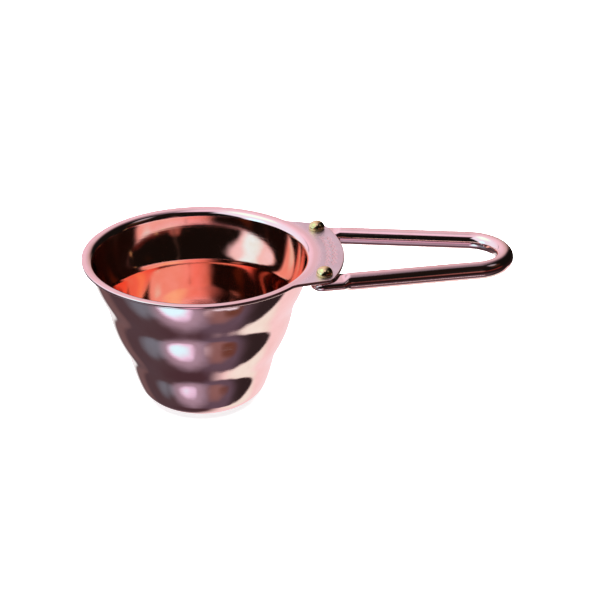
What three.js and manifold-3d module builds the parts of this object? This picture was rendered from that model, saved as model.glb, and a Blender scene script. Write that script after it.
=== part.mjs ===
// A single-cup measuring scoop: a drawn sheet-metal cup with three rounded bulges, a flat
// turned-out rim that carries a rivet tab, and a loop of round wire riveted under the tab.
//
// Millimetres, +Z up. The origin is the centre of the cup's base, on the face that it stands on.
// The handle reaches out along +X, and the part is the same on both sides of the XZ plane.

import * as THREE from 'three';
import { mergeVertices } from 'three/addons/utils/BufferGeometryUtils.js';
import Module from 'manifold-3d';

const wasm = await Module();
wasm.setup();

const { degToRad, lerp, smoothstep, clamp } = THREE.MathUtils;

// ---------------------------------------------------------------- driving dimensions

const sheet = 0.8; // thickness of the cup, its rim and the tab, which are one sheet
const cupHeight = 36.8;
const rimRadius = 27.5;
const rimBendRadius = 1; // underside of the bend between wall and rim
const baseCornerRadius = 4;

// The outside of the wall swells out three times. Each knot is where two bulges would meet.
const wallKnots = [
  { height: 0, radius: 13.05 },
  { height: 12.3, radius: 16.95 },
  { height: 25.2, radius: 21.45 },
  { height: cupHeight, radius: 25.8 },
];
const bulgeSwell = [0.8, 1.13, 0.85]; // how far each bulge stands out from a straight cone
const bulgeSag = 0.27; // how much fuller each bulge is towards its foot than towards its top
const valleyBlends = [1.3, 1.3]; // how softly one bulge runs into the next, lowest valley first
const innerValleyBlends = [1.45, 0.8]; // the same on the sheet's inner face

const tabOuterRadius = 33.5; // the tab's outer edge is concentric with the cup
const tabSideTaper = degToRad(14); // each side edge leans in by this away from the cup
const tabSideMargin = 3.25; // from a rivet's centre to the tab's side edge
const tabRootRadius = 4;
const tabCornerRadius = 2.6;
const tabLapOnRim = 0.6; // how far the tab's blank runs in over the rim

const wireRadius = 2.05;
const wireDrop = 2; // from the top of the rim down to the wire's centreline
const handleReach = 73.35; // from the cup's axis to the far side of the loop
const legTaper = degToRad(8); // each leg leans in by this towards the loop's end
const rivet = new THREE.Vector2(28, 12.7); // the +Y rivet's place in plan
const legOutside = 0.7; // how far outside the rivet the leg's centreline passes

const pressedHalfWidth = 2.9; // the wire's ends are pressed flat where they are riveted
const pressedThickness = 2.2;
const pressedBeyondRivet = 3.4;
const pressedLength = 7.2;
const pressedRunOut = 2; // from the flat back to round wire
const pressedEndRounding = 0.9; // 0 leaves the pressed end square, 1 brings it to a point

const rivetHeadRadius = 1.9;
const rivetHeadHeight = 1.95;
const rivetHeadSkirt = 0.4; // the short upright side below the dome
const rivetShankRadius = 1;
const rivetHoleRadius = 1.15;
const rivetDrillLength = 12; // passes right through the tab and the wire
const rivetTailRadius = 1.7;
const rivetTailHeight = 0.8;
const rivetTailChamfer = 0.4;

const cupSegments = 48;
const wallSteps = 20;
const bendSteps = 4;
const wireSides = 16;
const wireSteps = 170;
const rivetSegments = 24;
const rivetDomeSteps = 6;
const weldDistance = 1e-4; // vertices closer than this are one vertex

// ---------------------------------------------------------------- materials

function metal(color, roughness) {
  return new THREE.MeshStandardMaterial({ color, roughness, metalness: 1 });
}

const cupFinish = metal(0xc98f88, 0.16);
const wireFinish = metal(0xc4868a, 0.14);
const brass = metal(0xc9a75a, 0.24);

// ---------------------------------------------------------------- solids

function toSolid(geometry) {
  const bare = geometry.clone();
  bare.deleteAttribute('normal');
  bare.deleteAttribute('uv');
  const merged = mergeVertices(bare, weldDistance);
  return new wasm.Manifold(new wasm.Mesh({
    numProp: 3,
    vertProperties: new Float32Array(merged.attributes.position.array),
    triVerts: new Uint32Array(merged.index.array),
  }));
}

function toGeometry(solid) {
  const mesh = solid.getMesh();
  const geometry = new THREE.BufferGeometry();
  geometry.setAttribute('position', new THREE.BufferAttribute(mesh.vertProperties, 3));
  geometry.setIndex(new THREE.BufferAttribute(mesh.triVerts, 1));
  geometry.computeVertexNormals();
  return geometry;
}

// A body turned about Z from a profile of (radius, height) points.
function turned(profile, segments) {
  const geometry = new THREE.LatheGeometry(profile, segments);
  geometry.rotateX(Math.PI / 2);
  return geometry;
}

// An upright drill through the tab and the wire's pressed end, on the rivet's side of the part.
function rivetDrill(side) {
  const drill = new THREE.CylinderGeometry(
    rivetHoleRadius,
    rivetHoleRadius,
    rivetDrillLength,
    rivetSegments,
  );
  drill.rotateX(Math.PI / 2);
  drill.translate(rivet.x, side * rivet.y, cupHeight);
  return toSolid(drill);
}

function drilled(solid) {
  return solid.subtract(rivetDrill(1)).subtract(rivetDrill(-1));
}

// ---------------------------------------------------------------- cup

function bulgeRadius(index, height) {
  const low = wallKnots[index];
  const high = wallKnots[index + 1];
  const along = (height - low.height) / (high.height - low.height);
  const cone = lerp(low.radius, high.radius, along);
  const sag = 1 + bulgeSag * clamp(0.5 - along, -0.5, 0.5);
  return cone + 4 * bulgeSwell[index] * along * (1 - along) * sag;
}

// Follows the larger of two radii, and rounds the valley where they cross.
function softLarger(a, b, blend) {
  return (a + b + Math.hypot(a - b, blend)) / 2;
}

function wallRadius(height, blends) {
  const lowerTwo = softLarger(bulgeRadius(0, height), bulgeRadius(1, height), blends[0]);
  return softLarger(lowerTwo, bulgeRadius(2, height), blends[1]);
}

// The sheet's outer face, from the middle of the base to the edge of the rim, with the valleys
// between the bulges softened by blends.
function sheetProfile(blends) {
  const points = [new THREE.Vector2(0, 0)];
  for (let i = 0; i < bendSteps; i += 1) {
    const turn = (i / bendSteps) * (Math.PI / 2);
    const height = baseCornerRadius * (1 - Math.cos(turn));
    const inset = baseCornerRadius * (1 - Math.sin(turn));
    points.push(new THREE.Vector2(wallRadius(height, blends) - inset, height));
  }
  const wallTop = cupHeight - sheet - rimBendRadius;
  for (let i = 0; i <= wallSteps; i += 1) {
    const height = lerp(baseCornerRadius, wallTop, i / wallSteps);
    points.push(new THREE.Vector2(wallRadius(height, blends), height));
  }
  const bendCentre = wallRadius(wallTop, blends) + rimBendRadius;
  for (let i = 1; i <= bendSteps; i += 1) {
    const turn = (i / bendSteps) * (Math.PI / 2);
    const radius = bendCentre - rimBendRadius * Math.cos(turn);
    points.push(new THREE.Vector2(radius, wallTop + rimBendRadius * Math.sin(turn)));
  }
  points.push(new THREE.Vector2(rimRadius, cupHeight - sheet));
  return points;
}

// A line moved through the sheet to its inner face. It keeps to the axis at one end, and the
// rim's edge is upright at the other.
function throughSheet(line) {
  return line.map((point, i) => {
    const before = line[Math.max(i - 1, 0)];
    const after = line[Math.min(i + 1, line.length - 1)];
    const onLevelBase = i < 2;
    const run = onLevelBase ? new THREE.Vector2(1, 0) : after.clone().sub(before).normalize();
    return new THREE.Vector2(point.x - run.y * sheet, point.y + run.x * sheet);
  });
}

function cupShell() {
  const outer = sheetProfile(valleyBlends);
  const inner = throughSheet(sheetProfile(innerValleyBlends));
  return turned([...outer, ...inner.reverse()], cupSegments);
}

// ---------------------------------------------------------------- tab

// Directions along a +Y leg towards the loop's end, and square to it on its outer side.
const legRun = new THREE.Vector2(Math.cos(legTaper), -Math.sin(legTaper));
const legSide = new THREE.Vector2(Math.sin(legTaper), Math.cos(legTaper));
const legOffset = rivet.dot(legSide) + legOutside;

// The same for the tab's +Y side edge.
const edgeRun = new THREE.Vector2(Math.cos(tabSideTaper), -Math.sin(tabSideTaper));
const edgeSide = new THREE.Vector2(Math.sin(tabSideTaper), Math.cos(tabSideTaper));
const edgeOffset = rivet.dot(edgeSide) + tabSideMargin;

// The centre of an arc that lies this far from the cup's axis and this far out along edgeSide.
function arcCentre(fromAxis, outAlongSide) {
  const alongEdge = Math.sqrt(fromAxis ** 2 - outAlongSide ** 2);
  return edgeRun.clone().multiplyScalar(alongEdge).addScaledVector(edgeSide, outAlongSide);
}

function tabPlate() {
  const corner = arcCentre(tabOuterRadius - tabCornerRadius, edgeOffset - tabCornerRadius);
  const root = arcCentre(rimRadius + tabRootRadius, edgeOffset + tabRootRadius);
  const sideAngle = edgeSide.angle();
  const half = new THREE.Path();
  half.absarc(0, 0, tabOuterRadius, 0, corner.angle(), false);
  half.absarc(corner.x, corner.y, tabCornerRadius, corner.angle(), sideAngle, false);
  half.absarc(root.x, root.y, tabRootRadius, sideAngle - Math.PI, root.angle() - Math.PI, true);
  half.absarc(0, 0, rimRadius - tabLapOnRim, root.angle(), 0, true);
  const upper = half.getPoints(bendSteps);
  const lower = upper.slice(1, -1).reverse().map((point) => new THREE.Vector2(point.x, -point.y));
  const plate = new THREE.ExtrudeGeometry(new THREE.Shape([...upper, ...lower]), {
    depth: sheet,
    bevelEnabled: false,
  });
  plate.translate(0, 0, cupHeight - sheet);
  return plate;
}

function cupWithTab() {
  return toGeometry(drilled(toSolid(cupShell()).add(toSolid(tabPlate()))));
}

// ---------------------------------------------------------------- wire handle

const wireHeight = cupHeight - wireDrop;

// The bend at the loop's end is tangent to both legs and reaches handleReach.
const loopTip = handleReach - wireRadius;
const bendRadius = (legOffset - loopTip * legSide.x) / (1 - legSide.x);
const bendCentreX = loopTip - bendRadius;
const halfBendLength = bendRadius * legSide.angle();

const wireEnd = rivet.dot(legRun) - pressedBeyondRivet; // measured along legRun
const halfWireLength = halfBendLength + bendCentreX * legRun.x - wireEnd;

// The centreline, from the +Y end round the loop to the -Y end.
class WireLoop extends THREE.Curve {
  getPoint(fraction, target = new THREE.Vector3()) {
    const side = fraction < 0.5 ? 1 : -1;
    const fromTip = Math.abs(1 - 2 * fraction) * halfWireLength;
    const turn = Math.min(fromTip, halfBendLength) / bendRadius;
    const upLeg = Math.max(fromTip - halfBendLength, 0);
    const x = bendCentreX + bendRadius * Math.cos(turn) - upLeg * legRun.x;
    const y = bendRadius * Math.sin(turn) - upLeg * legRun.y;
    return target.set(x, side * y, wireHeight);
  }
}

// Presses the last stretch of each leg: the round section is clipped between two flats, spreads
// sideways, and rises until its upper flat is at the tab's underside.
function pressEnds(geometry) {
  const position = geometry.attributes.position;
  const lift = wireDrop - sheet - pressedThickness / 2;
  for (let i = 0; i < position.count; i += 1) {
    const side = Math.sign(position.getY(i));
    const plan = new THREE.Vector2(position.getX(i), Math.abs(position.getY(i)));
    const fromEnd = plan.dot(legRun) - wireEnd;
    const pressed = 1 - smoothstep(fromEnd, pressedLength, pressedLength + pressedRunOut);
    if (pressed > 0) {
      const tip = 1 - clamp(fromEnd / pressedHalfWidth, 0, 1);
      const roundedEnd = Math.sqrt(1 - pressedEndRounding * tip ** 2);
      const spread = lerp(1, (pressedHalfWidth / wireRadius) * roundedEnd, pressed);
      const across = (plan.dot(legSide) - legOffset) * spread;
      const halfThickness = lerp(wireRadius, pressedThickness / 2, pressed);
      const up = clamp(position.getZ(i) - wireHeight, -halfThickness, halfThickness);
      const run = legRun.clone().multiplyScalar(fromEnd + wireEnd);
      run.addScaledVector(legSide, legOffset + across);
      position.setXYZ(i, run.x, side * run.y, wireHeight + up + lift * pressed);
    }
  }
}

function wireHandle() {
  const section = new THREE.Shape();
  section.absarc(0, 0, wireRadius, 0, 2 * Math.PI, false);
  const wire = new THREE.ExtrudeGeometry(section, {
    steps: wireSteps,
    curveSegments: wireSides / 2,
    extrudePath: new WireLoop(),
  });
  pressEnds(wire);
  return toGeometry(drilled(toSolid(wire)));
}

// ---------------------------------------------------------------- rivets

// A solid rivet: a domed head on the tab, and a tail upset against the wire's pressed end.
function rivetBody() {
  const seat = cupHeight;
  const grip = seat - sheet - pressedThickness;
  const profile = [
    new THREE.Vector2(0, grip - rivetTailHeight),
    new THREE.Vector2(rivetTailRadius - rivetTailChamfer, grip - rivetTailHeight),
    new THREE.Vector2(rivetTailRadius, grip - rivetTailHeight + rivetTailChamfer),
    new THREE.Vector2(rivetTailRadius, grip),
    new THREE.Vector2(rivetShankRadius, grip),
    new THREE.Vector2(rivetShankRadius, seat),
    new THREE.Vector2(rivetHeadRadius, seat),
  ];
  const domeHeight = rivetHeadHeight - rivetHeadSkirt;
  for (let i = 0; i < rivetDomeSteps; i += 1) {
    const turn = (i / rivetDomeSteps) * (Math.PI / 2);
    const height = seat + rivetHeadSkirt + domeHeight * Math.sin(turn);
    profile.push(new THREE.Vector2(rivetHeadRadius * Math.cos(turn), height));
  }
  profile.push(new THREE.Vector2(0, seat + rivetHeadHeight));
  return turned(profile, rivetSegments);
}

// ---------------------------------------------------------------- assembly

function part(name, geometry, material) {
  const mesh = new THREE.Mesh(geometry, material);
  mesh.name = name;
  return mesh;
}

const scoop = new THREE.Group();
scoop.add(part('cup_with_tab', cupWithTab(), cupFinish));
scoop.add(part('wire_handle', wireHandle(), wireFinish));

for (const [name, side] of [['rivet_far', 1], ['rivet_near', -1]]) {
  const mesh = part(name, rivetBody(), brass);
  mesh.position.set(rivet.x, side * rivet.y, 0);
  scoop.add(mesh);
}

export default scoop;
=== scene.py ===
"""A single-cup measuring scoop in polished rose-copper plate, with brass rivets.

Lengths are in millimetres until a mesh is made, and metres from there on. The origin is the
centre of the cup's base, +Z is up, and the handle reaches out along +X.
"""

import math

import bmesh
import bpy
import numpy as np
from mathutils import Matrix, Vector


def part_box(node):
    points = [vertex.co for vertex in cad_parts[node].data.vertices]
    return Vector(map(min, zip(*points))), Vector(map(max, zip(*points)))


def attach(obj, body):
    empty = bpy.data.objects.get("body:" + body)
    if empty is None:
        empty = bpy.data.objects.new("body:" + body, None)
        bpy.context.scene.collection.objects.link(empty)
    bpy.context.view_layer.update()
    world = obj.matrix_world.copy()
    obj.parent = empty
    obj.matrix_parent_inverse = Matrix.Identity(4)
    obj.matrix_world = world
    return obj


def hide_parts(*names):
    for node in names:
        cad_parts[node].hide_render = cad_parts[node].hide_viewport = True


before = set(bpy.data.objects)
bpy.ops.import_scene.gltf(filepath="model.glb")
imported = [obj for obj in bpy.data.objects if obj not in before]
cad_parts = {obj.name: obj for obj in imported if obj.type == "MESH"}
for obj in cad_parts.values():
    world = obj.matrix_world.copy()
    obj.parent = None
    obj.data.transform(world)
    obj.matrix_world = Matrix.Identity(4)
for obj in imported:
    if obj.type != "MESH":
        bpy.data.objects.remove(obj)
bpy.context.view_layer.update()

MM = 0.001

# ---------------------------------------------------------------- sizes from the frame


def node_box(node):
    """The lowest and highest corners of a CAD node, in millimetres."""
    low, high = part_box(node)
    return low / MM, high / MM


_, cup_high = node_box("cup_with_tab")
wire_low, wire_high = node_box("wire_handle")
rivet_low, rivet_high = node_box("rivet_far")

CUP_HEIGHT = cup_high.z
RIM_RADIUS = cup_high.y
TAB_OUTER_RADIUS = cup_high.x
WIRE_RADIUS = (wire_high.z - wire_low.z) / 2
WIRE_HEIGHT = (wire_high.z + wire_low.z) / 2
HANDLE_REACH = wire_high.x
RIVET = np.array([(rivet_low.x + rivet_high.x) / 2, (rivet_low.y + rivet_high.y) / 2])
RIVET_HEAD_RADIUS = (rivet_high.x - rivet_low.x) / 2

# ---------------------------------------------------------------- sizes the box can't give

SHEET = 0.8
SHEET_EDGE = 0.24  # radius that the sheet's cut edges are rubbed down to
BASE_CORNER_RADIUS = 4.0
RIM_BEND_RADIUS = 1.0

# The wall swells out three times. Two bulges would meet at each of these heights and radii.
WALL_HEIGHTS = (0.0, 12.3, 25.2, CUP_HEIGHT)
WALL_RADII = (13.05, 16.95, 21.45, 25.8)
BULGE_SWELL = (0.8, 1.13, 0.85)  # how far each bulge stands out from a straight cone
BULGE_SAG = 0.27  # how much fuller each bulge is towards its foot
VALLEY_BLENDS = (1.3, 1.3)  # how softly one bulge runs into the next, lower and upper valley
INNER_VALLEY_BLENDS = (1.45, 0.8)

LEG_TAPER = math.radians(8)
LEG_OUTSIDE_RIVET = 0.7
TAB_SIDE_TAPER = math.radians(14)
TAB_SIDE_MARGIN = 3.25
TAB_ROOT_RADIUS = 4.0
TAB_CORNER_RADIUS = 2.6
GRAIN_START = RIM_RADIUS - 0.8  # where the rim's polish starts to give way to the tab's grain

PRESSED_HALF_WIDTH = 2.9
PRESSED_THICKNESS = 2.2
PRESSED_BEYOND_RIVET = 3.4
PRESSED_LENGTH = 7.2
PRESSED_RUN_OUT = 2.0
PRESSED_FLATNESS = 2.6  # how much of the pressed section is flat, above and below
PRESSED_SQUARENESS = 2.2  # how soon its sides begin to round

RIVET_SHANK_RADIUS = 1.0
RIVET_HEAD_SKIRT = 0.4
RIVET_TAIL_RADIUS = 1.7
RIVET_TAIL_HEIGHT = 0.8
RIVET_TAIL_SKIRT = 0.15
RIVET_HEAD_CHAMFER = (0.12, 0.1)  # across and up, where the head's rim meets the tab

# ---------------------------------------------------------------- mesh building


def skin(name, rings, material, start=None, end=None):
    """A smooth closed skin over rings of points. start and end are points that close its ends."""
    count = len(rings[0])
    points = [tuple(p) for ring in rings for p in ring]
    faces = []
    for i in range(len(rings) - 1):
        for j in range(count):
            k = (j + 1) % count
            faces.append((i * count + j, i * count + k, (i + 1) * count + k, (i + 1) * count + j))
    for pole, ring in ((start, 0), (end, len(rings) - 1)):
        if pole is not None:
            tip = len(points)
            points.append(tuple(pole))
            for j in range(count):
                k = (j + 1) % count
                pair = (ring * count + k, ring * count + j)
                faces.append((*(pair if ring == 0 else pair[::-1]), tip))
    mesh = bpy.data.meshes.new(name)
    mesh.from_pydata([tuple(c * MM for c in p) for p in points], [], faces)
    return finished(name, mesh, material)


def finished(name, mesh, material):
    """Merges what coincides, turns the faces outwards and links the mesh as an object."""
    work = bmesh.new()
    work.from_mesh(mesh)
    bmesh.ops.remove_doubles(work, verts=work.verts, dist=1e-7)
    if work.calc_volume(signed=True) < 0:
        bmesh.ops.reverse_faces(work, faces=work.faces)
    work.to_mesh(mesh)
    work.free()
    mesh.shade_smooth()
    mesh.materials.append(material)
    piece = bpy.data.objects.new(name, mesh)
    bpy.context.scene.collection.objects.link(piece)
    return piece


# ---------------------------------------------------------------- cup profile


def bulge_radius(index, height):
    low, high = WALL_HEIGHTS[index], WALL_HEIGHTS[index + 1]
    along = (height - low) / (high - low)
    cone = WALL_RADII[index] + (WALL_RADII[index + 1] - WALL_RADII[index]) * along
    sag = 1 + BULGE_SAG * np.clip(0.5 - along, -0.5, 0.5)
    return cone + 4 * BULGE_SWELL[index] * along * (1 - along) * sag


def soft_larger(a, b, blend):
    return (a + b + np.hypot(a - b, blend)) / 2


def wall_radius(height, blends):
    lower_two = soft_larger(bulge_radius(0, height), bulge_radius(1, height), blends[0])
    return soft_larger(lower_two, bulge_radius(2, height), blends[1])


def wall_line(blends):
    """(radius, height) up a wall with its valleys softened by blends, from the flat of the base to
    that of the rim."""
    turn = np.linspace(0, math.pi / 2, 16, endpoint=False)
    corner_z = BASE_CORNER_RADIUS * (1 - np.cos(turn))
    corner_r = wall_radius(corner_z, blends) - BASE_CORNER_RADIUS * (1 - np.sin(turn))
    wall_top = CUP_HEIGHT - SHEET - RIM_BEND_RADIUS
    wall_z = np.linspace(BASE_CORNER_RADIUS, wall_top, 96)
    bend = np.linspace(0, math.pi / 2, 9)[1:]
    bend_r = wall_radius(wall_top, blends) + RIM_BEND_RADIUS * (1 - np.cos(bend))
    bend_z = wall_top + RIM_BEND_RADIUS * np.sin(bend)
    radius = np.concatenate([corner_r, wall_radius(wall_z, blends), bend_r])
    return np.stack([radius, np.concatenate([corner_z, wall_z, bend_z])], axis=1)


def through_sheet(line):
    """A line on the outer face moved square to itself to the inner face."""
    run = np.gradient(line, axis=0)
    run[0] = run[-1] = (1, 0)
    run /= np.linalg.norm(run, axis=1, keepdims=True)
    return line + SHEET * np.stack([-run[:, 1], run[:, 0]], axis=1)


# ---------------------------------------------------------------- tab outline

LEG_RUN = np.array([math.cos(LEG_TAPER), -math.sin(LEG_TAPER)])
LEG_SIDE = np.array([math.sin(LEG_TAPER), math.cos(LEG_TAPER)])
LEG_OFFSET = float(RIVET @ LEG_SIDE) + LEG_OUTSIDE_RIVET
EDGE_RUN = np.array([math.cos(TAB_SIDE_TAPER), -math.sin(TAB_SIDE_TAPER)])
EDGE_SIDE = np.array([math.sin(TAB_SIDE_TAPER), math.cos(TAB_SIDE_TAPER)])
EDGE_OFFSET = float(RIVET @ EDGE_SIDE) + TAB_SIDE_MARGIN


def arc_centre(from_axis, out_along_side):
    along_edge = math.sqrt(from_axis**2 - out_along_side**2)
    return EDGE_RUN * along_edge + EDGE_SIDE * out_along_side


def angle_of(vector):
    return math.atan2(vector[1], vector[0])


def arc(centre, radius, angles, facing=1):
    """Points on an arc and their outward normals. facing is -1 where the outline is hollow."""
    normal = np.stack([np.cos(angles), np.sin(angles)], axis=1)
    return np.asarray(centre) + radius * normal, facing * normal


def outline():
    """The rim's and tab's outer edge, anticlockwise from the tab's middle: points and normals."""
    corner = arc_centre(TAB_OUTER_RADIUS - TAB_CORNER_RADIUS, EDGE_OFFSET - TAB_CORNER_RADIUS)
    root = arc_centre(RIM_RADIUS + TAB_ROOT_RADIUS, EDGE_OFFSET + TAB_ROOT_RADIUS)
    side = angle_of(EDGE_SIDE)
    corner_turn = np.linspace(angle_of(corner), side, 12)
    root_turn = np.linspace(side - math.pi, angle_of(root) - math.pi, 16)
    side_ends = corner + TAB_CORNER_RADIUS * EDGE_SIDE, root - TAB_ROOT_RADIUS * EDGE_SIDE
    along = np.linspace(0, 1, 16)[1:-1, None]
    side_points = side_ends[0] * (1 - along) + side_ends[1] * along
    marked = np.radians(MARK_HALF_ANGLE)
    stretches = [
        arc((0, 0), TAB_OUTER_RADIUS, np.linspace(0, marked, 100)),
        arc((0, 0), TAB_OUTER_RADIUS, np.linspace(marked, angle_of(corner), 24)[1:-1]),
        arc(corner, TAB_CORNER_RADIUS, corner_turn),
        (side_points, np.tile(EDGE_SIDE, (len(side_points), 1))),
        arc(root, TAB_ROOT_RADIUS, root_turn, facing=-1),
        arc((0, 0), RIM_RADIUS, np.linspace(angle_of(root), math.pi, 150)[1:]),
    ]
    points = np.concatenate([s[0] for s in stretches])
    normals = np.concatenate([s[1] for s in stretches])
    mirror = np.array([1, -1])
    points = np.concatenate([points, points[1:-1][::-1] * mirror])
    normals = np.concatenate([normals, normals[1:-1][::-1] * mirror])
    return points, normals


# ---------------------------------------------------------------- punched mark

MARK_HALF_ANGLE = 15.5
MARK_RADII = (29.7, 31.3)
MARK_COUNT = 8  # rings in a row, with a dot between each two
MARK_RING_RADIUS = 0.42
MARK_STROKE = 0.16
MARK_DEPTH = 0.05


def mark_depth(x, y):
    """Depth of two rows of punched rings and dots along the tab, a plain border pattern."""
    depth = np.zeros_like(x)
    reach = math.radians(MARK_HALF_ANGLE - 1.5)
    angles = np.linspace(-reach, reach, 2 * MARK_COUNT - 1)
    for row, radius in enumerate(MARK_RADII):
        for place, angle in enumerate(angles):
            away = np.hypot(x - radius * math.cos(angle), y - radius * math.sin(angle))
            ring = (place + row) % 2 == 0
            off_line = np.abs(away - MARK_RING_RADIUS) if ring else away / 1.3
            depth = np.maximum(depth, MARK_DEPTH * np.exp(-((off_line / MARK_STROKE) ** 4)))
    return depth


# ---------------------------------------------------------------- cup with tab


def build_cup(finishes):
    points, normals = outline()
    inset = points - SHEET_EDGE * normals
    around = np.arctan2(inset[:, 1], inset[:, 0])
    spoke = np.stack([np.cos(around), np.sin(around)], axis=1)
    outer = wall_line(VALLEY_BLENDS)
    inner = through_sheet(wall_line(INNER_VALLEY_BLENDS))

    def level(plan, height):
        return np.column_stack([plan, np.full(len(plan), height)])

    def turned(line):
        return [level(spoke * radius, height) for radius, height in line]

    base = [(outer[0, 0] * share, 0.0) for share in (0.25, 0.5, 0.75, 0.9)]
    floor = [(inner[0, 0] * share, SHEET) for share in (0.9, 0.75, 0.5, 0.25)]

    under = CUP_HEIGHT - SHEET
    rings = turned(base) + turned(outer)
    for share in np.linspace(0, 1, 10)[1:-1]:
        rings.append(level(spoke * outer[-1, 0] * (1 - share) + inset * share, under))
    for turn in np.linspace(0, math.pi / 2, 6):
        height = under + SHEET_EDGE * (1 - math.cos(turn))
        rings.append(level(inset + normals * SHEET_EDGE * math.sin(turn), height))
    for turn in np.linspace(math.pi / 2, 0, 6):
        height = CUP_HEIGHT - SHEET_EDGE * (1 - math.cos(turn))
        rings.append(level(inset + normals * SHEET_EDGE * math.sin(turn), height))
    # From the edge in to the wall, closest together where the tab's marks are pressed in.
    across_rim = np.concatenate([
        np.linspace(1, 0.85, 4)[1:],
        np.linspace(0.84, 0.4, 32),
        np.linspace(0.39, 0, 6)[1:-1],
    ])
    for share in across_rim:
        plan = spoke * inner[-1, 0] * (1 - share) + inset * share
        ring = level(plan, CUP_HEIGHT)
        ring[:, 2] -= mark_depth(ring[:, 0], ring[:, 1])
        rings.append(ring)
    rings += turned(inner[::-1]) + turned(floor)
    cup = skin("cup_and_tab", rings, finishes[0], start=(0, 0, 0), end=(0, 0, SHEET))
    cup.data.materials.append(finishes[1])
    cup.data.materials.append(finishes[2])
    for face in cup.data.polygons:
        face.material_index = cup_finish(face.center / MM, face.normal)
    return cup


def cup_finish(point, normal):
    """Which finish a face of the cup has: 0 outside and rim, 1 inside, 2 the tab's grained top."""
    from_axis = math.hypot(point.x, point.y)
    if normal.z > 0.99 and point.z > CUP_HEIGHT - 0.3:
        on_tab = from_axis > GRAIN_START and point.x > RIVET[0] - 8
        return 2 if on_tab else 0
    facing_in = normal.x * point.x + normal.y * point.y < 0 or normal.z > 0.9
    return 1 if facing_in and from_axis < RIM_RADIUS - 1 and point.z < CUP_HEIGHT - 0.2 else 0


# ---------------------------------------------------------------- wire handle

WIRE_SIDES = 48


def round_section(turn):
    return np.stack([WIRE_RADIUS * np.cos(turn), WIRE_RADIUS * np.sin(turn)], axis=1)


def pressed_section(turn):
    """(across, up) round the pressed wire, two flats joined by round sides, and at each point half
    the width of the section at that height."""
    half = PRESSED_THICKNESS / 2
    up = half * np.tanh(PRESSED_FLATNESS * np.sin(turn)) / math.tanh(PRESSED_FLATNESS)
    side = np.sqrt(half**2 - up**2)
    out = np.tanh(PRESSED_SQUARENESS * np.cos(turn)) / math.tanh(PRESSED_SQUARENESS)
    across = (PRESSED_HALF_WIDTH - half) * out + side * np.sign(np.cos(turn))
    return np.stack([across, up], axis=1), PRESSED_HALF_WIDTH - half + side


def build_wire(material):
    tip_centreline = HANDLE_REACH - WIRE_RADIUS
    bend_radius = (LEG_OFFSET - tip_centreline * LEG_SIDE[0]) / (1 - LEG_SIDE[0])
    bend_x = tip_centreline - bend_radius
    bend_turn = angle_of(LEG_SIDE)
    leg_end = float(RIVET @ LEG_RUN) - PRESSED_BEYOND_RIVET
    leg_length = bend_x * LEG_RUN[0] - leg_end
    lift = CUP_HEIGHT - SHEET - PRESSED_THICKNESS / 2 - WIRE_HEIGHT

    turn = np.linspace(0, 2 * math.pi, WIRE_SIDES, endpoint=False)
    flat, level_half_width = pressed_section(turn)
    round_wire = round_section(turn)

    rings = []

    def leg_ring(along, section, raised):
        plan = np.outer(leg_end + along, LEG_RUN) if np.ndim(along) else (leg_end + along) * LEG_RUN
        plan = plan + np.outer(LEG_OFFSET + section[:, 0], LEG_SIDE)
        return np.column_stack([plan, WIRE_HEIGHT + raised + section[:, 1]])

    for angle in np.linspace(0, math.pi / 2, 20, endpoint=False):
        along = PRESSED_HALF_WIDTH - level_half_width * math.cos(angle)
        section = np.stack([flat[:, 0] * math.sin(angle), flat[:, 1]], axis=1)
        rings.append(leg_ring(along, section, lift))
    run_out = PRESSED_LENGTH + PRESSED_RUN_OUT
    stations = np.concatenate([
        np.linspace(PRESSED_HALF_WIDTH, PRESSED_LENGTH, 8, endpoint=False),
        np.linspace(PRESSED_LENGTH, run_out, 24, endpoint=False),
        np.linspace(run_out, leg_length, 40, endpoint=False),
    ])
    for along in stations:
        share = min(max((along - PRESSED_LENGTH) / PRESSED_RUN_OUT, 0), 1)
        rounded = share * share * (3 - 2 * share)
        section = flat * (1 - rounded) + round_wire * rounded
        rings.append(leg_ring(along, section, lift * (1 - rounded)))
    for angle in np.linspace(bend_turn, 0, 49):
        outward = np.array([math.cos(angle), math.sin(angle)])
        plan = np.array([bend_x, 0]) + np.outer(bend_radius + round_wire[:, 0], outward)
        rings.append(np.column_stack([plan, WIRE_HEIGHT + round_wire[:, 1]]))
    mirrored = [ring * np.array([1, -1, 1]) for ring in rings[-2::-1]]
    return skin("wire_loop", rings + mirrored, material)


# ---------------------------------------------------------------- rivets

RIVET_SIDES = 64


def rivet_line():
    """(radius, height) from the bottom of the tail to the top of the head."""
    grip = CUP_HEIGHT - SHEET - PRESSED_THICKNESS
    dome = rivet_high.z - CUP_HEIGHT - RIVET_HEAD_SKIRT
    tail_depth = RIVET_TAIL_HEIGHT - RIVET_TAIL_SKIRT
    tail = np.linspace(math.radians(-80), 0, 9)
    tail_line = [
        (RIVET_TAIL_RADIUS * math.cos(a), grip - RIVET_TAIL_SKIRT + tail_depth * math.sin(a))
        for a in tail
    ]
    head = np.linspace(0, math.radians(86), 14)
    head_line = [
        (RIVET_HEAD_RADIUS * math.cos(a), CUP_HEIGHT + RIVET_HEAD_SKIRT + dome * math.sin(a))
        for a in head
    ]
    middle = [
        (RIVET_TAIL_RADIUS, grip),
        (RIVET_SHANK_RADIUS, grip),
        (RIVET_SHANK_RADIUS, CUP_HEIGHT),
        (RIVET_HEAD_RADIUS - RIVET_HEAD_CHAMFER[0], CUP_HEIGHT),
        (RIVET_HEAD_RADIUS, CUP_HEIGHT + RIVET_HEAD_CHAMFER[1]),
    ]
    return tail_line + middle + head_line


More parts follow.
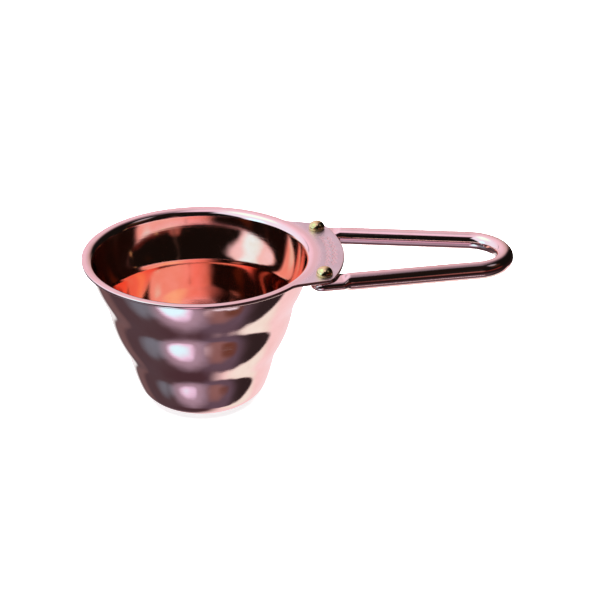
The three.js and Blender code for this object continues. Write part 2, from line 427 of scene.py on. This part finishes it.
def build_rivet(name, side, material):
    turn = np.linspace(0, 2 * math.pi, RIVET_SIDES, endpoint=False)
    centre = RIVET * np.array([1, side])
    rings = []
    for radius, height in rivet_line():
        plan = centre + radius * np.stack([np.cos(turn), np.sin(turn)], axis=1)
        rings.append(np.column_stack([plan, np.full(len(turn), height)]))
    low = (*centre, rings[0][0, 2] - 0.01)
    high = (*centre, rivet_high.z)
    return skin(name, rings, material, start=low, end=high)


# ---------------------------------------------------------------- materials


class Nodes:
    """Adds nodes to a tree and returns their outputs, so that a material reads as arithmetic."""

    def __init__(self, tree):
        self.tree = tree

    def add(self, kind, values=(), **settings):
        node = self.tree.nodes.new(kind)
        for name, value in settings.items():
            setattr(node, name, value)
        for socket, value in dict(values).items():
            if isinstance(value, bpy.types.NodeSocket):
                self.tree.links.new(value, node.inputs[socket])
            else:
                node.inputs[socket].default_value = value
        return node

    def math(self, operation, *values):
        return self.add("ShaderNodeMath", enumerate(values), operation=operation).outputs[0]

    def vector(self, operation, *values):
        node = self.add("ShaderNodeVectorMath", enumerate(values), operation=operation)
        return node.outputs["Value" if operation in ("DOT_PRODUCT", "LENGTH") else "Vector"]

    def ramp(self, value, low, high, to_low=0.0, to_high=1.0):
        """value carried smoothly from the range low..high to the range to_low..to_high."""
        limits = {"From Min": low, "From Max": high, "To Min": to_low, "To Max": to_high}
        sockets = {"Value": value, **limits}
        return self.add("ShaderNodeMapRange", sockets, interpolation_type="SMOOTHSTEP").outputs[0]

    def mix(self, share, first, second):
        node = self.add("ShaderNodeMix", data_type="RGBA")
        for socket, value in ((0, share), (6, first), (7, second)):
            if isinstance(value, bpy.types.NodeSocket):
                self.tree.links.new(value, node.inputs[socket])
            else:
                node.inputs[socket].default_value = value
        return node.outputs[2]

    def noise(self, where, scale, detail=2.0, roughness=0.5):
        sockets = {"Vector": where, "Scale": scale, "Detail": detail, "Roughness": roughness}
        return self.add("ShaderNodeTexNoise", sockets).outputs["Fac"]

    def place(self):
        """The point being shaded, in the piece's own metres."""
        return self.add("ShaderNodeTexCoord").outputs["Object"]


def metal(name):
    """A fully metallic material: its node helper and its shader."""
    material = bpy.data.materials.new(name)
    material.use_nodes = True
    shader = material.node_tree.nodes["Principled BSDF"]
    shader.inputs["Metallic"].default_value = 1
    return material, Nodes(material.node_tree), shader


def polished_copper(name, color, deep_color, roughness, lip_color=None):
    """Copper plate polished on a spinning mandrel: faint rings, soft waves and slight stains. The
    cup's inside has a lip_color, to which the plate turns near the rim, and a duller floor."""
    material, nodes, shader = metal(name)
    place = nodes.place()
    x, y, z = nodes.add("ShaderNodeSeparateXYZ", {0: place}).outputs[:3]
    plan = nodes.add("ShaderNodeCombineXYZ", {0: x, 1: y}).outputs[0]
    radius = nodes.vector("LENGTH", plan)
    stretched = nodes.math("MULTIPLY", z, 1.4)
    spin = nodes.add("ShaderNodeCombineXYZ", {0: radius, 1: stretched}).outputs[0]
    rings = nodes.noise(spin, 2600, detail=4, roughness=0.65)
    waves = nodes.noise(place, 70, detail=1)
    stains = nodes.noise(place, 160, detail=5, roughness=0.6)
    tint = nodes.mix(nodes.ramp(stains, 0.35, 0.75), (*color, 1), (*deep_color, 1))
    if lip_color:
        near_lip = nodes.ramp(z, (CUP_HEIGHT - 5) * MM, (CUP_HEIGHT - 1) * MM)
        tint = nodes.mix(near_lip, tint, (*lip_color, 1))
    nodes.tree.links.new(tint, shader.inputs["Base Color"])
    polish = nodes.math("ADD", nodes.math("MULTIPLY", rings, 0.4), nodes.math("MULTIPLY", stains, 0.6))
    finish = nodes.ramp(polish, 0.3, 0.7, roughness * 0.75, roughness * 1.3)
    if lip_color:
        dullness = nodes.ramp(z, 3 * MM, 8 * MM, 0.2, 0)
        finish = nodes.math("ADD", finish, dullness)
    nodes.tree.links.new(finish, shader.inputs["Roughness"])
    height = nodes.math("ADD", nodes.math("MULTIPLY", rings, 0.07), waves)
    bump = nodes.add("ShaderNodeBump", {"Height": height, "Strength": 0.12, "Distance": 0.0006})
    nodes.tree.links.new(bump.outputs[0], shader.inputs["Normal"])
    return material


def satin_copper(name, color, deep_color, rim_color):
    """The tab's grained top face, shot with fine grit before plating. It fades into the rim."""
    material, nodes, shader = metal(name)
    place = nodes.place()
    x, y = nodes.add("ShaderNodeSeparateXYZ", {0: place}).outputs[:2]
    from_axis = nodes.vector("LENGTH", nodes.add("ShaderNodeCombineXYZ", {0: x, 1: y}).outputs[0])
    beyond_rim = nodes.ramp(from_axis, GRAIN_START * MM, (GRAIN_START + 2) * MM)
    grit = nodes.noise(place, 3800, detail=3, roughness=0.7)
    clouds = nodes.noise(place, 260, detail=3)
    tint = nodes.mix(nodes.ramp(clouds, 0.3, 0.7), (*color, 1), (*deep_color, 1))
    tint = nodes.mix(beyond_rim, (*rim_color, 1), tint)
    nodes.tree.links.new(tint, shader.inputs["Base Color"])
    grain = nodes.math("MULTIPLY", nodes.ramp(grit, 0.3, 0.7, 0.22, 0.36), beyond_rim)
    nodes.tree.links.new(nodes.math("ADD", grain, 0.06), shader.inputs["Roughness"])
    height = nodes.math("MULTIPLY", grit, beyond_rim)
    bump = nodes.add("ShaderNodeBump", {"Height": height, "Strength": 0.5, "Distance": 0.00012})
    nodes.tree.links.new(bump.outputs[0], shader.inputs["Normal"])
    return material


def polished_brass(name, color, deep_color):
    """Tumbled brass: small dents from the rivet set and a slight tarnish."""
    material, nodes, shader = metal(name)
    place = nodes.place()
    tarnish = nodes.noise(place, 700, detail=4, roughness=0.6)
    dents = nodes.noise(place, 900, detail=1)
    tint = nodes.mix(nodes.ramp(tarnish, 0.35, 0.7), (*color, 1), (*deep_color, 1))
    nodes.tree.links.new(tint, shader.inputs["Base Color"])
    nodes.tree.links.new(nodes.ramp(tarnish, 0.3, 0.7, 0.07, 0.15), shader.inputs["Roughness"])
    bump = nodes.add("ShaderNodeBump", {"Height": dents, "Strength": 0.2, "Distance": 0.0003})
    nodes.tree.links.new(bump.outputs[0], shader.inputs["Normal"])
    return material


def lit_paper(name, color, glow):
    """The studio floor's translucent paper, lit from below as well: plain, with a trace of tooth."""
    material = bpy.data.materials.new(name)
    material.use_nodes = True
    nodes = Nodes(material.node_tree)
    shader = material.node_tree.nodes["Principled BSDF"]
    tooth = nodes.noise(nodes.place(), 40, detail=2)
    shade = nodes.mix(tooth, (*color, 1), (*(0.99 * c for c in color), 1))
    nodes.tree.links.new(shade, shader.inputs["Base Color"])
    nodes.tree.links.new(shade, shader.inputs["Emission Color"])
    shader.inputs["Emission Strength"].default_value = glow
    shader.inputs["Roughness"].default_value = 0.9
    shader.inputs["Specular IOR Level"].default_value = 0
    return material


def glowing(name, color, strength):
    material = bpy.data.materials.new(name)
    material.use_nodes = True
    tree = material.node_tree
    tree.nodes.clear()
    nodes = Nodes(tree)
    light = nodes.add("ShaderNodeEmission", {"Color": (*color, 1), "Strength": strength})
    output = nodes.add("ShaderNodeOutputMaterial")
    tree.links.new(light.outputs[0], output.inputs["Surface"])
    return material


# ---------------------------------------------------------------- camera

CAMERA_ELEVATION = math.radians(26.58)
CAMERA_AZIMUTH = math.radians(3.7)
CAMERA_ROLL = math.radians(-0.23)
CAMERA_DISTANCE = 418.0
CAMERA_TARGET = Vector((22.86, -6.27, 27.25))
CAMERA_LENS = 108.0


def make_camera():
    ahead = Vector((
        math.sin(CAMERA_AZIMUTH) * math.cos(CAMERA_ELEVATION),
        math.cos(CAMERA_AZIMUTH) * math.cos(CAMERA_ELEVATION),
        -math.sin(CAMERA_ELEVATION),
    ))
    right = Vector((math.cos(CAMERA_AZIMUTH), -math.sin(CAMERA_AZIMUTH), 0))
    down = ahead.cross(right)
    rolled_right = math.cos(CAMERA_ROLL) * right + math.sin(CAMERA_ROLL) * down
    rolled_down = math.cos(CAMERA_ROLL) * down - math.sin(CAMERA_ROLL) * right
    turn = Matrix((rolled_right, -rolled_down, -ahead)).transposed()
    data = bpy.data.cameras.new("camera")
    data.lens = CAMERA_LENS
    data.sensor_width = 36
    data.clip_start = 0.01
    camera = bpy.data.objects.new("camera", data)
    place = (CAMERA_TARGET - CAMERA_DISTANCE * ahead) * MM
    camera.matrix_world = Matrix.Translation(place) @ turn.to_4x4()
    bpy.context.scene.collection.objects.link(camera)
    bpy.context.scene.camera = camera


# ---------------------------------------------------------------- studio

# Directions in the studio are an azimuth from +X, anticlockwise seen from above, and an elevation,
# in degrees. A panel is a colour and the edges that bound it, and each panel covers those before.


def edge(azimuth, elevation, offset, softness):
    """Half of the studio: all within 90 - offset degrees of a direction, softened at its limit."""
    turn = math.radians(azimuth)
    rise = math.radians(elevation)
    facing = (math.cos(turn) * math.cos(rise), math.sin(turn) * math.cos(rise), math.sin(rise))
    low = math.sin(math.radians(offset - softness))
    high = math.sin(math.radians(offset + softness))
    return facing, low, high


def spot(azimuth, elevation, radius, softness):
    """A round patch of the studio about a direction."""
    return edge(azimuth, elevation, 90 - radius, softness)


def above(elevation, softness):
    return edge(0, 90, elevation, softness)


def below(elevation, softness):
    return edge(0, -90, -elevation, softness)


UNLIT = (0.007, 0.0065, 0.006)
LEFT_EDGE = edge(127, 28, 0, 6)
TABLE_EDGE = edge(117, -13.5, 1, 2.5)
BETWEEN_LEGS = (edge(14, 0, 0, 3), edge(-136, 0, 0, 3))
FRONT_RIGHT = (edge(22, 0, 0, 8), edge(-98, 0, 0, 8))
WISP_SIDES = (edge(28, 0, -1, 3), edge(-152, 0, -1, 3))
PANELS = (
    ("table", (0.086, 0.062, 0.078), (below(-10, 9),)),
    ("table middle", (0.07, 0.038, 0.052), (spot(0, -90, 20, 14),)),
    ("violet table", (0.13, 0.10, 0.15), (spot(-52, -61, 17, 9),)),
    ("dark table", (0.031, 0.022, 0.025), (spot(1, -46, 14, 11),)),
    ("red wall", (0.50, 0.36, 0.34), (LEFT_EDGE, edge(140, 0, 16, 9), above(-6, 6))),
    ("rose wall", (0.96, 0.78, 0.98), (LEFT_EDGE, edge(155, 25, 25, 25), above(-6, 6))),
    ("cool wall", (0.93, 1.10, 1.38), (LEFT_EDGE, edge(-145, 0, 2, 24), above(-6, 6))),
    ("hot corner", (0.85, 1.75, 2.2), (spot(-153, 15, 6, 10), edge(127, 28, 2, 6))),
    ("hot height", (1.0, 1.6, 1.5), (spot(175, 60, 12, 12),)),
    ("dark height", (0.012, 0.008, 0.007), (spot(-66, 60, 24, 4),)),
    ("ceiling", (0.97, 0.82, 1.08), (spot(-105, 80, 10, 9),)),
    ("back table", (0.42, 0.38, 0.46), (spot(97, -26, 7, 9),)),
    ("rose table", (0.17, 0.115, 0.125), (spot(131, -38, 8, 7),)),
    ("table's far end", (0.88, 0.98, 1.02), (spot(104, -31, 4, 11),)),
    ("table shadow", (0.018, 0.010, 0.011), (edge(8, 0, 0, 9), below(-2, 4), above(-27, 5))),
    ("right table", (0.97, 0.82, 0.88), (TABLE_EDGE, edge(20, 0, 8, 8), below(-26, 3))),
    ("cream table", (0.94, 1.06, 1.02), (TABLE_EDGE, spot(14, -60, 12, 8))),
    ("slate", (0.18, 0.235, 0.31), (spot(-158, -44, 14, 12), above(-54, 4))),
    ("halo", (0.42, 0.36, 0.50), (spot(-118, -50, 18, 11),)),
    ("mauve patch", (0.55, 0.48, 0.58), (spot(-79, -49, 4, 4),)),
    ("umber", (0.27, 0.16, 0.165), (spot(-64, -53, 8, 7),)),
    ("amber", (0.15, 0.062, 0.045), (spot(-49, -48, 5, 6),)),
    ("pink fringe", (0.90, 0.82, 1.2), (spot(-122, -45, 14, 3),)),
    ("glow", (0.78, 1.40, 1.66), (spot(-123, -43, 11, 3.5),)),
    ("bright line", (0.98, 1.05, 1.25), (*BETWEEN_LEGS, above(-47.2, 1), below(-44, 1))),
    ("rose line", (0.69, 0.44, 0.65), (spot(-98, -23, 7, 5),)),
    ("ember", (0.055, 0.025, 0.012), (spot(-15, 36, 10, 6),)),
    ("warm line", (0.16, 0.03, 0.025), (*FRONT_RIGHT, above(-1, 3), below(8, 4))),
    ("warm strip", (0.33, 0.15, 0.14), (spot(-63, 8, 5, 4),)),
    ("wisp", (0.06, 0.052, 0.05), (*WISP_SIDES, above(6, 8), below(30, 12))),
    ("blue patch", (0.36, 0.38, 0.45), (spot(-10, 50, 5, 7),)),
)

DRAPE = 0.11  # how far the cloths that make the panels stray from straight edges


def make_world():
    world = bpy.data.worlds.new("studio")
    world.use_nodes = True
    nodes = Nodes(world.node_tree)
    background = world.node_tree.nodes["Background"]
    straight = nodes.add("ShaderNodeTexCoord").outputs["Generated"]
    ripple = nodes.add("ShaderNodeTexNoise", {"Vector": straight, "Scale": 5, "Detail": 1})
    bend = nodes.vector("SUBTRACT", ripple.outputs["Color"], (0.5, 0.5, 0.5))
    bend = nodes.add("ShaderNodeVectorMath", {0: bend, "Scale": DRAPE}, operation="SCALE").outputs[0]
    direction = nodes.vector("NORMALIZE", nodes.vector("ADD", straight, bend))
    color = (*UNLIT, 1)
    for _, panel_color, edges in PANELS:
        cover = 1.0
        for facing, low, high in edges:
            within = nodes.ramp(nodes.vector("DOT_PRODUCT", direction, facing), low, high)
            cover = nodes.math("MULTIPLY", within, cover)
        color = nodes.mix(cover, color, (*panel_color, 1))
    world.node_tree.links.new(color, background.inputs["Color"])
    world.cycles_visibility.diffuse = False
    bpy.context.scene.world = world


# ---------------------------------------------------------------- stage

FLOOR_HALF = 2.5
BACKDROP_RADIUS = 3.0
OVERHEAD_HEIGHT = 1.6
OVERHEAD_SIZE = 2.4
OVERHEAD_POWER = 120


def make_floor():
    """A pale paper floor. The polished metal is lit by the studio and not by the floor."""
    bpy.ops.mesh.primitive_plane_add(size=2 * FLOOR_HALF, location=(0, 0, 0))
    floor = bpy.context.object
    floor.name = "floor"
    floor.data.materials.append(lit_paper("floor_paper", (0.9, 0.9, 0.9), 0.88))
    floor.visible_glossy = False


def make_backdrop():
    """A white surround that only the camera sees."""
    bpy.ops.mesh.primitive_uv_sphere_add(radius=BACKDROP_RADIUS, segments=48, ring_count=24)
    backdrop = bpy.context.object
    backdrop.name = "backdrop"
    backdrop.data.materials.append(glowing("backdrop_white", (1, 1, 1), 1.0))
    for ray in ("diffuse", "glossy", "transmission", "shadow"):
        setattr(backdrop, "visible_" + ray, False)


def make_overhead():
    data = bpy.data.lights.new("overhead", "AREA")
    data.shape = "DISK"
    data.size = OVERHEAD_SIZE
    data.energy = OVERHEAD_POWER
    light = bpy.data.objects.new("overhead", data)
    light.location = (0, 0, OVERHEAD_HEIGHT)
    light.visible_glossy = False
    bpy.context.scene.collection.objects.link(light)


# ---------------------------------------------------------------- assembly

copper = polished_copper("rose_copper", (0.97, 0.68, 0.62), (0.93, 0.62, 0.55), 0.05)
inner_copper = polished_copper(
    "inner_copper", (0.99, 0.48, 0.37), (0.97, 0.42, 0.30), 0.07, lip_color=(0.97, 0.66, 0.60)
)
tab_copper = satin_copper(
    "tab_copper", (0.88, 0.74, 0.71), (0.80, 0.64, 0.62), rim_color=(0.95, 0.66, 0.60)
)
brass = polished_brass("brass", (0.90, 0.72, 0.36), (0.72, 0.52, 0.22))

pieces = [
    (build_cup((copper, inner_copper, tab_copper)), "cup_with_tab", "cup_copper"),
    (build_wire(copper), "wire_handle", "wire_copper"),
    (build_rivet("rivet_far_set", 1, brass), "rivet_far", "rivet_brass"),
    (build_rivet("rivet_near_set", -1, brass), "rivet_near", "rivet_brass"),
]
for piece, node, slot in pieces:
    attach(piece, "root")
    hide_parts(node)

make_camera()
make_world()
make_floor()
make_backdrop()
make_overhead()
bpy.context.scene.view_settings.view_transform = "Standard"
